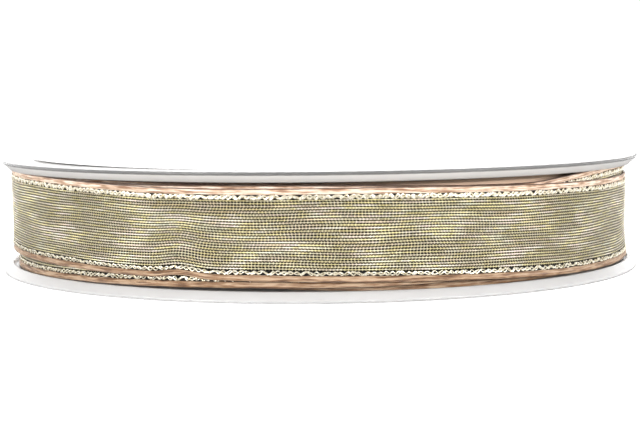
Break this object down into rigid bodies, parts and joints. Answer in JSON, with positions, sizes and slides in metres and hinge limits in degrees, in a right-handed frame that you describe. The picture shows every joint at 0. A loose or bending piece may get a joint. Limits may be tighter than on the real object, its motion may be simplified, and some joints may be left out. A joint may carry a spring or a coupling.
{
  "type": "ribbon spool",
  "caption": "Flat white plastic spool lying on one flange, wound with metallic woven gift ribbon with copper satin hems; the free end peels off the roll.",
  "frame": {"origin": "middle of the lower flange's outer face, on the spool's axis, at the surface the spool lies on", "axes": "+Z along the spool's axis, away from the surface it lies on; +Y towards the side where the ribbon's free end lies"},
  "size_m": [0.125, 0.125, 0.0218],
  "materials": {
    "spool_plastic": "smooth moulded white, slightly milky",
    "core_board": "plain wound board",
    "label_paper": "smooth white coated paper, unprinted",
    "ribbon_cloth": "metallic white-gold weave with a zigzag braid near each side",
    "satin_hem": "copper satin",
    "hem_wire": "fine copper-coloured wire",
    "clear_tape": "clear adhesive tape"
  },
  "bodies": {
    "spool": {"lower_flange": "spool_plastic", "upper_flange": "spool_plastic", "hub_core": "core_board", "top_label": "label_paper", "core_tape": "clear_tape", "ribbon_pack": "ribbon_cloth", "third_turn": "ribbon_cloth", "third_turn_hems": "satin_hem", "second_turn": "ribbon_cloth", "second_turn_hems": "satin_hem", "outer_turn": "ribbon_cloth", "outer_turn_hems": "satin_hem", "outer_turn_wires": "hem_wire"},
    "free_end_root": {"tail_root": "ribbon_cloth", "tail_root_hems": "satin_hem", "tail_root_wires": "hem_wire"},
    "free_end_middle": {"tail_middle": "ribbon_cloth", "tail_middle_hems": "satin_hem", "tail_middle_wires": "hem_wire"},
    "free_end_tip": {"tail_tip": "ribbon_cloth", "tail_tip_hems": "satin_hem", "tail_tip_wires": "hem_wire", "end_tape": "clear_tape"}
  },
  "joints": [
    {"name": "tail_lift", "type": "hinge", "parent": "spool", "child": "free_end_root", "pos_m": [0.02565, 0.05501, 0.01082], "axis": [0, 0, -1], "range_deg": [0, 55]},
    {"name": "tail_bend_middle", "type": "hinge", "parent": "free_end_root", "child": "free_end_middle", "pos_m": [0.0095, 0.05995, 0.01082], "axis": [0, 0, -1], "range_deg": [0, 14]},
    {"name": "tail_bend_tip", "type": "hinge", "parent": "free_end_middle", "child": "free_end_tip", "pos_m": [-0.0074, 0.06025, 0.01082], "axis": [0, 0, -1], "range_deg": [0, 14]}
  ],
  "couplings": [
    {"joint": "tail_bend_middle", "follows": "tail_lift", "ratio": 0.25},
    {"joint": "tail_bend_tip", "follows": "tail_lift", "ratio": 0.25}
  ]
}
